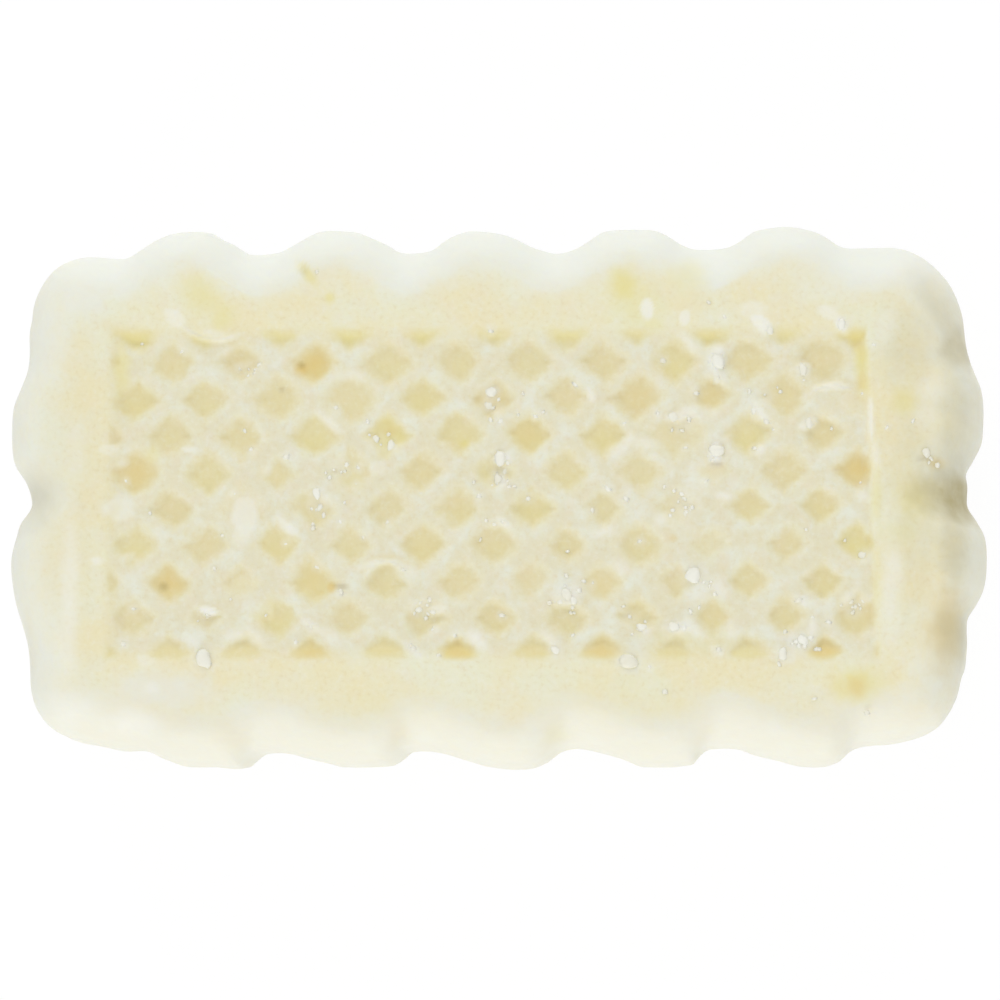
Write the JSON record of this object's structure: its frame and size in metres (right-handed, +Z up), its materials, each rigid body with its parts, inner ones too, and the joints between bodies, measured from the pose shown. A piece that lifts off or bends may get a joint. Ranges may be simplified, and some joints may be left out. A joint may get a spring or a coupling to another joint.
{
  "type": "bar of soap",
  "caption": "Rectangular bar of pressed soap with a lobed edge, soft shoulders and a shallow sunk panel covered by a diagonal lattice of ribs; the underside is plain and flat.",
  "frame": {"origin": "middle of the flat resting face", "axes": "+Z up, out of the face with the sunk panel; +X along the bar's length; +Y across it"},
  "size_m": [0.09, 0.0496, 0.024],
  "materials": {
    "soap": "matt, slightly waxy"
  },
  "bodies": {
    "root": {"soap_bar": "soap"}
  },
  "joints": []
}
